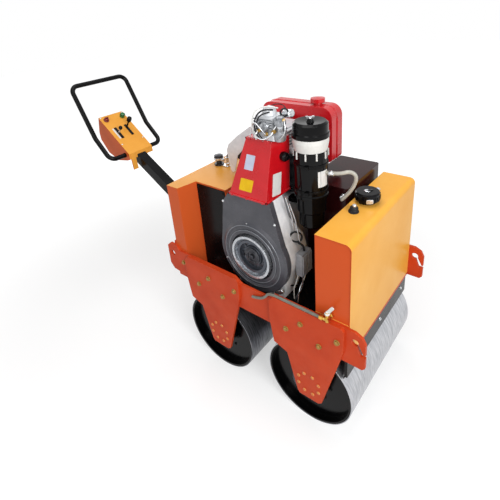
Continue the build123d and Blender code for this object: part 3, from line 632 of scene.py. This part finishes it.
def on_cowl(u, v):
    """A point on the cowl's sloping near face: u along it, v up it, each 0 to 1."""
    low = Vector((*COWL_LOW[0], cowl_low.z)).lerp(Vector((*COWL_LOW[1], cowl_low.z)), u)
    high = Vector((*COWL_HIGH[0], cowl_high.z)).lerp(Vector((*COWL_HIGH[1], cowl_high.z)), u)
    return low.lerp(high, v)


slope = (on_cowl(0.5, 1) - on_cowl(0.5, 0)).normalized()
out = Vector((1, 0, 0)).cross(slope).normalized()
if out.y > 0:
    out = -out
cowl_plane = Matrix((Vector((1, 0, 0)), slope, out)).transposed().to_4x4()


def cowl_plate(name, u, v, width, height, finish):
    """A blank plate on the cowl's near face, centred on (u, v)."""
    plate = bmesh.new()
    where = Matrix.Translation(on_cowl(u, v)) @ cowl_plane
    extrude_outline(plate, rounded(width, height, 3), 0.7, where, 0.2)
    piece(name, plate, finish, "machine")


cowl_plate("cowl_plate_upper", 0.36, 0.60, 44, 62, "blue_grey_vinyl")
cowl_plate("cowl_plate_lower", 0.40, 0.22, 64, 50, "yellow_vinyl")

# the plate on the cowl's front flank, below its middle and towards the near edge
PLATE_DROP, PLATE_NEARER = 62, 14
foot_near, foot_back = (Vector((COWL_LOW[1][0], y, cowl_low.z)) for y in (COWL_LOW[1][1], COWL_BACK))
top_near = Vector((*COWL_HIGH[1], cowl_high.z))
top_back = Vector((COWL_TOP_BACK_X, COWL_BACK, cowl_high.z))
middle = sum((foot_near, foot_back, top_near, top_back), Vector()) / 4
rise = ((top_near + top_back) - (foot_near + foot_back)).normalized()
face_out = Vector((0, 1, 0)).cross(rise)
face_out = (face_out if face_out.x > 0 else -face_out).normalized()
flank_plane = Matrix((rise.cross(face_out), rise, face_out)).transposed().to_4x4()
flank_at = Matrix.Translation(middle + rise * -PLATE_DROP + Vector((0, -PLATE_NEARER, 0)))
side_plate = bmesh.new()
extrude_outline(side_plate, rounded(56, 92, 3), 0.9, flank_at @ flank_plane, 0.2)
piece("cowl_plate_side", side_plate, "white_vinyl", "machine")

FLANGE = 8
rim = bmesh.new()
for corners, z, half in ((COWL_LOW, cowl_low.z, 5), (COWL_HIGH, cowl_high.z - FLANGE, 4)):
    (x_rear, y_near), (x_front, _) = corners
    for x0, x1, y0, y1 in ((x_rear, x_front, y_near, y_near), (x_rear, x_front, COWL_BACK, COWL_BACK),
                           (x_rear, x_rear, y_near, COWL_BACK), (x_front, x_front, y_near, COWL_BACK)):
        size = (abs(x1 - x0) + 2 * half, abs(y1 - y0) + 2 * half, FLANGE)
        block(rim, size, Matrix.Translation(((x0 + x1) / 2, (y0 + y1) / 2, z + FLANGE / 2)))
piece("cowl_flanges", rim, "engine_paint", "machine", bevel=2)
cowl_fix = bmesh.new()
for (_, (_, y_near)), z, across, size in ((COWL_LOW, cowl_low.z + FLANGE / 2, (-120, -42, 38), 6),
                                          (COWL_HIGH, cowl_high.z - FLANGE / 2, (-60, 44), 5)):
    for x in across:
        flange_bolt(cowl_fix, (x, y_near - 4, z), NEAR, size)
piece("cowl_bolts", cowl_fix, "engine_paint", "machine")

# valve gear on the head: nuts, injector, solenoid, unions, lifting ring, pipes and wires
BASE_Z = box_mm("rocker_cover")[0].z
NUT_ROWS, NUT_COLUMNS = (-184, -108), (-47, -10, 22, 53)
COVER_RIBS, RIB_PITCH = 5, 10
gear = bmesh.new()
for x in NUT_COLUMNS:
    for y in NUT_ROWS:
        flange_bolt(gear, (x, y, BASE_Z + 28), UP, 6)
for k in range(COVER_RIBS):
    block(gear, (96, 3, 5), Matrix.Translation((3, -183.5, BASE_Z + 38 + RIB_PITCH * k)))
# injector: holder, union nut and return banjo, leaning out of the head
turn_outline(gear, [(22, 0), (24, 6), (24, 34), (19, 38), (19, 62), (23, 66), (23, 78), (15, 86), (15, 94),
                    (8, 98), (0, 98)], facing((64, -166, BASE_Z + 2), (0.12, -0.1, 1)), 22)
turn_outline(gear, [(13, 0), (13, 12), (0, 12)], facing((76, -178, BASE_Z + 60), (0.5, -0.7, 0.3)), 6)
turn_outline(gear, [(10, 0), (10, 22), (7, 25), (0, 25)],
             facing((52, -184, BASE_Z + 34), (-0.2, -1, 0.1)), 6)
# decompression shaft with its lever plate
turn_outline(gear, [(9, 0), (9, 20), (5, 22), (5, 34), (0, 34)], facing((-20, -180, BASE_Z + 66), NEAR), 18)
turn_outline(gear, [(20, 0), (20, 8), (16, 12), (16, 16), (0, 16)],
             facing((10, -184, BASE_Z + 52), NEAR), 24)
piece("valve_gear", gear, "oily_alloy", "machine", bevel=0.7)
solenoid_at = facing((58, -120, BASE_Z + 92), (0.86, -0.3, 0.2))
solenoid = bmesh.new()
turn_outline(solenoid, [(12, 0), (15, 2), (15, 44), (12, 47), (7, 47), (7, 54), (0, 54)], solenoid_at, 26)
for h in (6, 22, 40):
    turn_outline(solenoid, [(15, h), (16, h + 0.8), (16, h + 3), (15, h + 3.8)], solenoid_at, 26, True)
piece("stop_solenoid", solenoid, "nickel", "machine")
UNIONS = (((64, -196, BASE_Z + 44), (0, -1, 0.1)), ((30, -196, BASE_Z + 30), NEAR),
          ((-6, -196, BASE_Z + 40), NEAR), ((82, -170, BASE_Z + 82), (0.8, -0.5, 0.3)))
unions = bmesh.new()
for centre, axis in UNIONS:
    turn_outline(unions, [(8, 0), (8, 8), (6, 9), (6, 14), (0, 14)], facing(centre, axis), 6)
piece("gear_unions", unions, "zinc", "machine")


def ring_points(centre, r, tilt, count=10):
    """Points round a ring that stands on its rim, turned by tilt degrees about Z."""
    turn = swing(tilt, "Z").to_3x3()
    angles = (math.tau * k / count for k in range(count))
    return [Vector(centre) + turn @ Vector(on_circle(0, 0, 0, r, a)) for a in angles]


routed("lifting_ring", ring_points((78, -150, BASE_Z + 106), 15, 30), 3.6, "rubber", "machine", True)
PIPES = {
    "injection_pipe": (3, "nickel", [(64, -208, 1254), (64, -222, 1246), (40, -218, 1226), (18, -206, 1218),
                                     (6, -196, 1206)]),
    "return_pipe": (2.4, "nickel", [(30, -208, 1240), (22, -222, 1262), (-6, -224, 1290), (-34, -206, 1270),
                                    (-52, -196, 1232), (-66, -190, 1196)]),
    "vent_pipe": (2.2, "nickel", [(-6, -208, 1250), (-16, -222, 1236), (14, -224, 1222), (40, -212, 1228),
                                  (66, -196, 1268), (78, -180, 1296)]),
    "leak_off_pipe": (2.0, "nickel", [(94, -178, 1296), (106, -186, 1272), (100, -190, 1240),
                                      (70, -190, 1216), (56, -180, 1206)]),
    "stop_wire": (2.6, "white_plastic", [(50, -150, 1330), (17, -156, 1333), (-10, -172, 1333),
                                         (-30, -192, 1322), (-38, -204, 1280), (-32, -206, 1244),
                                         (-20, -204, 1212)]),
    "loom_one": (3.2, "rubber", [(40, -168, 1326), (8, -176, 1328), (-18, -192, 1312), (-26, -206, 1276),
                                 (-18, -206, 1240), (-8, -200, 1214)]),
    "loom_two": (2.8, "rubber", [(30, -176, 1318), (6, -190, 1314), (-10, -202, 1296), (-14, -208, 1262),
                                 (0, -204, 1226), (10, -198, 1210)]),
    "glow_wire": (2.0, "rubber", [(70, -120, 1310), (46, -100, 1328), (10, -96, 1330), (-30, -92, 1316),
                                  (-62, -90, 1276), (-70, -96, 1214)]),
}
for name, (r, finish, points) in PIPES.items():
    routed(name, points, r, finish, "machine")
choke = facing((52, -140, 1136), (1, -0.3, 0))
knob = bmesh.new()
turn_outline(knob, [(16, 0), (19, 4), (19, 22), (14, 28), (6, 30), (0, 30)], choke, 24)
turn_outline(knob, [(9, 28), (9, 36), (0, 36)], choke, 12)
piece("choke_knob", knob, "black_plastic", "machine", bevel=0.8)

# air cleaner: wing nut, ribs, clamps, plate
CLEANER, CLEANER_R = (150, -88), 65
cap_top = box_mm("air_cleaner_cap")[1].z
WING = [(0, 0), (15, 4), (17, 13), (9, 14), (2, 8)]
wing = bmesh.new()
turn_outline(wing, [(9, 0), (9, 6), (6, 8), (6, 14), (0, 14)], facing((*CLEANER, cap_top - 8), UP), 12)
wing_at = Matrix.Translation((*CLEANER, cap_top - 4)) @ swing(35, "Z") @ ON_EDGE
for outline in ([(-x, z) for x, z in WING[:1] + WING[:0:-1]], WING):
    extrude_outline(wing, outline, 3, wing_at, -1.5)
piece("wing_nut", wing, "nickel", "machine", bevel=0.6)
band_low = box_mm("air_cleaner_band")[0].z
RIBS, FIRST_RIB = 10, -112
ribs = bmesh.new()
for k in range(RIBS):
    a = math.radians(FIRST_RIB + 360 * k / RIBS)
    where = facing(on_wall(CLEANER, band_low - 14, CLEANER_R + 1.5, a), (math.cos(a), math.sin(a), 0))
    block(ribs, (6, 28, 5), where)
piece("air_cleaner_ribs", ribs, "white_plastic", "machine", bevel=1)
CLAMP_HEIGHTS = (1004, 1112)
clamps = bmesh.new()
for z in CLAMP_HEIGHTS:
    turn_outline(clamps, [(CLEANER_R + 0.2, -6), (CLEANER_R + 2.6, -6), (CLEANER_R + 3, 0),
                          (CLEANER_R + 2.6, 6), (CLEANER_R + 0.2, 6)], facing((*CLEANER, z), UP), 56, True)
    block(clamps, (18, 12, 10), facing((CLEANER[0] + 20, CLEANER[1] - 69, z), (0.3, -1, 0)))
piece("air_cleaner_clamps", clamps, "black_paint", "machine", bevel=0.6)
TAG_LOW, TAG_HIGH, TAG_FROM, TAG_SPAN, TAG_STEPS = 1026, 1092, -36, 42, 12
tag = bmesh.new()
for k in range(TAG_STEPS):
    a0, a1 = (math.radians(TAG_FROM + TAG_SPAN * (k + d) / TAG_STEPS) for d in (0, 1))
    quad = [(a0, TAG_LOW), (a1, TAG_LOW), (a1, TAG_HIGH), (a0, TAG_HIGH)]
    verts = [tag.verts.new(on_wall(CLEANER, z, r, a)) for r in (CLEANER_R + 0.4, CLEANER_R + 1.1)
             for a, z in quad]
    for face in ((0, 1, 2, 3), (7, 6, 5, 4), (0, 4, 5, 1), (1, 5, 6, 2), (2, 6, 7, 3), (3, 7, 4, 0)):
        tag.faces.new([verts[i] for i in face])
bmesh.ops.remove_doubles(tag, verts=tag.verts, dist=0.01)
piece("air_cleaner_plate", tag, "white_vinyl", "machine")

# fuel tank: its pressed seam, up the rear end, over the rounded shoulders and down the front end
fuel_low, fuel_high = box_mm("fuel_tank")
mid_y = (fuel_low.y + fuel_high.y) / 2
SHOULDER, SHOULDER_STEPS, SEAM_REAR, SEAM_FRONT = 48, 4, 74, 8
seam_points = [(fuel_low.x, fuel_low.z + SEAM_REAR)]
for centre_x, start in ((fuel_low.x + SHOULDER, 180), (fuel_high.x - SHOULDER, 90)):
    for k in range(SHOULDER_STEPS + 1):
        a = math.radians(start - 90 * k / SHOULDER_STEPS)
        x, _, z = on_circle(centre_x, mid_y, fuel_high.z - SHOULDER, SHOULDER, a)
        seam_points.append((x, z))
seam_points.append((fuel_high.x, fuel_low.z + SEAM_FRONT))
seam = bmesh.new()
for (x0, z0), (x1, z1) in zip(seam_points, seam_points[1:]):
    run = Vector((x1 - x0, 0, z1 - z0))
    block(seam, (7, 5, run.length), facing(((x0 + x1) / 2, mid_y, (z0 + z1) / 2), run))
piece("fuel_tank_seam", seam, "engine_paint", "machine", bevel=1.5)

# hoses that stand for the solids' tubes: each keeps within 1 mm of its tube's ends, and between them it
# bends more softly, up to about 9 mm off
BREATHER = [(215.3, -88, 1080), (265, -88, 1082), (308, -72, 1098), (330, -60, 1078), (312, -52, 1020),
            (264, -46, 958), (256, -38, 950), (256, -10.4, 955)]
SPRAY = [(317, -328, 612), (292, -328, 612), (262, -323, 606.6), (168, -322.4, 606.4), (82, -322.4, 607),
         (62, -322.4, 574), (30, -322.4, 552), (-8, -322.4, 545)]
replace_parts(routed("breather_hose", BREATHER, 7.5, "grey_pipe", "machine"), "breather_pipe")
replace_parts(routed("spray_line", SPRAY, 6, "spray_hose", "machine"), "water_hose")
hose_ends = bmesh.new()
for centre, axis, r in (((256, -13, 955), NEAR, 13), ((230, -88, 1080), (1, 0, 0), 11)):
    turn_outline(hose_ends, [(r, 0), (r, 10), (r * 0.8, 13), (r * 0.8, 20), (0, 20)],
                 facing(centre, axis), 8)
piece("breather_unions", hose_ends, "nickel", "machine", bevel=0.6)

# cables and wires of the regulator and the deck
reg_low, reg_high = box_mm("regulator_box")
CABLES = {
    "regulator_cable": (4.6, "rubber", [(148, -150, reg_high.z - 4), (148, -152, 752), (140, -160, 770),
                                        (128, -166, 776)]),
    "case_wire_upper": (3, "nickel", [(98, -196, 990), (112, -190, 930), (118, -178, 880),
                                      (112, -170, 830)]),
    "case_wire_lower": (3, "nickel", [(108, -186, 960), (124, -176, 900), (126, -166, 850),
                                      (134, -160, 780)]),
    "regulator_wire_0": (2.6, "white_plastic", [(138, -184, 632), (130, -190, 590), (116, -196, 552),
                                                (124, -200, 500)]),
    "regulator_wire_1": (2.6, "nickel", [(158, -180, 632), (160, -190, 570), (140, -200, 540),
                                         (132, -206, 506)]),
    "deck_wire": (3, "nickel", [(142, -120, reg_low.z + 2), (146, -150, 590), (140, -190, 560),
                                (150, -214, 512)]),
    "stop_cable": (4, "rubber", [(120, -110, 520), (100, -205, 560), (70, -236, 600)]),
}
routed("cable_ring", ring_points((120, -166, 800), 25, 30), 4.2, "rubber", "machine", True)
for name, (r, finish, points) in CABLES.items():
    routed(name, points, r, finish, "machine")

# handle: nuts of the pivot, the console's knobs, key, slots, lever and screws
PIVOT, NUT_FACE = (-548, 509), 52
pins = bmesh.new()
for side in (-1, 1):
    flange_bolt(pins, (PIVOT[0], side * NUT_FACE, PIVOT[1]), (0, side, 0), 14)
piece("pivot_nuts", pins, "zinc", "machine")
TOP_REAR, TOP_FRONT = Vector((-1350, 0, 1098)), Vector((-1100, 0, 907))
along = (TOP_FRONT - TOP_REAR).normalized()
top_out = Vector((-along.z, 0, along.x))
if top_out.z < 0:
    top_out = -top_out
top_plane = Matrix((along, top_out.cross(along), top_out)).transposed().to_4x4()


def on_top(s, y, lift=0.0):
    """The matrix of a place on the console's sloping top: s mm from its rear edge, y across."""
    return Matrix.Translation(TOP_REAR + along * s + Vector((0, y, 0)) + top_out * lift) @ top_plane


SLOT_S, SLOT_ROWS, SLOT_LONG, SLOT_WIDE = 150, (-40, 32), 86, 14
KEY_AT = (34, -52)
green = bmesh.new()
turn_outline(green, [(15.4, 0), (15.4, 18), (13, 23), (5, 25), (0, 25)], on_top(40, 58, 0.3), 28)
piece("green_knob", green, "green_phenolic", "handle", bevel=0.8)
key = bmesh.new()
turn_outline(key, [(17, 0), (17, 4), (12.4, 6), (12.4, 16), (10, 18), (0, 18)], on_top(*KEY_AT, 0.2), 24)
block(key, (5, 16, 14), on_top(*KEY_AT, 22))
piece("key_switch", key, "red_phenolic", "handle", bevel=0.8)
strips = bmesh.new()
extrude_outline(strips, rounded(84, 11, 2), 0.8, on_top(SLOT_S, -56, 0.2))
piece("lever_strips", strips, "white_vinyl", "handle")
frames = bmesh.new()
for y in SLOT_ROWS:
    for dy in (-SLOT_WIDE / 2, SLOT_WIDE / 2):
        block(frames, (SLOT_LONG + 2, 3, 2.4), on_top(SLOT_S, y + dy, 1.2))
    for ds in (-SLOT_LONG / 2, SLOT_LONG / 2):
        block(frames, (3, SLOT_WIDE + 3, 2.4), on_top(SLOT_S + ds, y, 1.2))
    extrude_outline(frames, rounded(82, 11, 2), 0.8, on_top(SLOT_S, y, 0.3))
piece("slot_frames", frames, "black_plastic", "handle", bevel=0.3)
throttle_at = on_top(SLOT_S, SLOT_ROWS[0])
throttle = bmesh.new()
turn_outline(throttle, [(4.5, -10), (4.5, 40), (0, 40)], throttle_at, 12)
piece("throttle_lever", throttle, "nickel", "handle")
balls = bmesh.new()
turn_outline(balls, [(7, 36), (10, 39), (12, 46), (10, 54), (5, 59), (0, 60)], throttle_at, 24)
turn_outline(balls, [(13.2, 57), (14.6, 64), (14.8, 72), (13.4, 80), (9.5, 86), (0, 89)],
             on_top(128, SLOT_ROWS[1]), 28)
piece("lever_ball", balls, "black_plastic", "handle")
console_screws = bmesh.new()
for s in (8, 236):
    for y in (-76, 76):
        button_screw(console_screws, on_top(s, y).translation, top_out, 5)
piece("console_screws", console_screws, "nickel", "handle")

# rear housing: the filler's clamp, stub and overflow, the panels' screws; then the scrapers' bolts
fill_low, fill_high = box_mm("hydraulic_filler")
fill_at = (fill_low + fill_high) / 2
FILL_R = (fill_high.x - fill_low.x) / 2
stub_x, stub_y = fill_at.x + FILL_R + 30, fill_at.y + 4
clamp = bmesh.new()
turn_outline(clamp, [(FILL_R + 0.3, -5), (FILL_R + 3, -5), (FILL_R + 3, 5), (FILL_R + 0.3, 5)],
             facing((fill_at.x, fill_at.y, fill_at.z + 8), UP), 32, True)
block(clamp, (22, 10, 12), Matrix.Translation((fill_at.x + FILL_R + 8, fill_at.y - 8, fill_at.z + 8)))
flange_bolt(clamp, (fill_at.x + FILL_R + 10, fill_at.y - 14, fill_at.z + 8), NEAR, 5)
foot_at = Matrix.Translation((fill_at.x + FILL_R + 12, stub_y, fill_low.z))
extrude_outline(clamp, rounded(58, 26, 4), 4, foot_at)
turn_outline(clamp, [(9, 0), (9, 14), (6, 16), (6, 34), (9, 36), (9, 44), (0, 44)],
             facing((stub_x, stub_y, fill_low.z + 4), UP), 18)
piece("filler_clamp", clamp, "nickel", "machine", bevel=0.6)
OVERFLOW = [(4, 42), (4, 62), (34, 62), (44, 20), (44, 0)]
routed("filler_overflow", [(stub_x, fill_at.y + dy, fill_low.z + dz) for dy, dz in OVERFLOW], 4, "rubber",
       "machine")
panel_low, panel_high = box_mm("side_panel_near")
panel_fix = bmesh.new()
for side, y in ((-1, panel_low.y), (1, -panel_low.y)):
    for x in (panel_low.x + 10, panel_high.x - 10):
        for z in (panel_low.z + 12, panel_high.z - 12):
            button_screw(panel_fix, (x, y, z), (0, side, 0), 6)
piece("panel_screws", panel_fix, "black_paint", "machine")
SCRAPER_X, SCRAPER_BOLT_Z, SCRAPER_BOLTS = 424, 400, (-240, 0, 240)
scraper_fix = bmesh.new()
for end in (-1, 1):
    for y in SCRAPER_BOLTS:
        flange_bolt(scraper_fix, (end * SCRAPER_X, y, SCRAPER_BOLT_Z), (end, 0, 0), 8)
piece("scraper_bolts", scraper_fix, "nickel", "machine")


# floor, light, background
def background_seen(tree):
    """The shader output that is 1 for rays that show the background: straight, mirrored or through glass."""
    ray = add(tree, "LightPath")
    seen = add(tree, "Math", {0: ray.outputs["Is Camera Ray"], 1: ray.outputs["Is Transmission Ray"]},
               operation="MAXIMUM")
    return add(tree, "Math", {0: seen.outputs[0], 1: ray.outputs["Is Glossy Ray"]},
               operation="MAXIMUM").outputs[0]


FLOOR_HALF = 12
FLOOR_GREY = "#C0C0C0"
GLOW_FROM, GLOW_TO = 0.9, 3.0
GLOW_NEAR, GLOW_FAR = 0.5, 0.84
SKY_LIGHT, SKY_SEEN = 0.32, 1.0
floor_mesh = bpy.data.meshes.new("floor")
floor_mesh.from_pydata([(-FLOOR_HALF, -FLOOR_HALF, 0), (FLOOR_HALF, -FLOOR_HALF, 0),
                        (FLOOR_HALF, FLOOR_HALF, 0), (-FLOOR_HALF, FLOOR_HALF, 0)], [], [(0, 1, 2, 3)])
floor = bpy.data.objects.new("floor", floor_mesh)
SCENE.collection.objects.link(floor)
floor_paint = bpy.data.materials.new("white_studio_floor")
floor_paint.use_nodes = True
tree = floor_paint.node_tree
bsdf = tree.nodes["Principled BSDF"]
bsdf.inputs["Base Color"].default_value = linear(FLOOR_GREY)
bsdf.inputs["Roughness"].default_value = 0.9
bsdf.inputs["Specular IOR Level"].default_value = 0.1
# the floor glows to white away from the machine, so that only its shadow shows
reach = add(tree, "VectorMath", {0: add(tree, "NewGeometry").outputs["Position"]}, operation="LENGTH")
glow = add(tree, "MapRange", {"Value": reach.outputs["Value"], "From Min": GLOW_FROM, "From Max": GLOW_TO,
                              "To Min": GLOW_NEAR, "To Max": GLOW_FAR}, interpolation_type="SMOOTHSTEP")
lift = add(tree, "Math", {0: background_seen(tree), 1: glow.outputs[0]}, operation="MULTIPLY")
bsdf.inputs["Emission Color"].default_value = WHITE
tree.links.new(lift.outputs[0], bsdf.inputs["Emission Strength"])
floor_mesh.materials.append(floor_paint)

world = bpy.data.worlds.new("studio")
SCENE.world = world
world.use_nodes = True
tree = world.node_tree
sky = tree.nodes["Background"]
strength = add(tree, "MapRange", {"Value": background_seen(tree), "To Min": SKY_LIGHT, "To Max": SKY_SEEN})
tree.links.new(strength.outputs[0], sky.inputs["Strength"])
sky.inputs["Color"].default_value = WHITE

# each lamp's name: its place and size in metres, and its power in watts
LAMPS = {"key": ((3.2, -1.5, 2.3), 1.5, 84), "top": ((0.2, 0.1, 3.3), 2.0, 35),
         "fill": ((0.9, -3.1, 1.9), 2.0, 30), "back": ((-2.6, 2.4, 1.6), 1.6, 20)}
MIDDLE = Vector((0.35, 0, 0.65))
for name, (at, size, watts) in LAMPS.items():
    lamp = bpy.data.lights.new(name, "AREA")
    lamp.shape, lamp.size, lamp.energy = "SQUARE", size, watts
    stand_in = bpy.data.objects.new(name, lamp)
    SCENE.collection.objects.link(stand_in)
    stand_in.location = at
    stand_in.rotation_euler = (Vector(at) - MIDDLE).to_track_quat("Z", "Y").to_euler()

SCENE.view_settings.view_transform = "Standard"
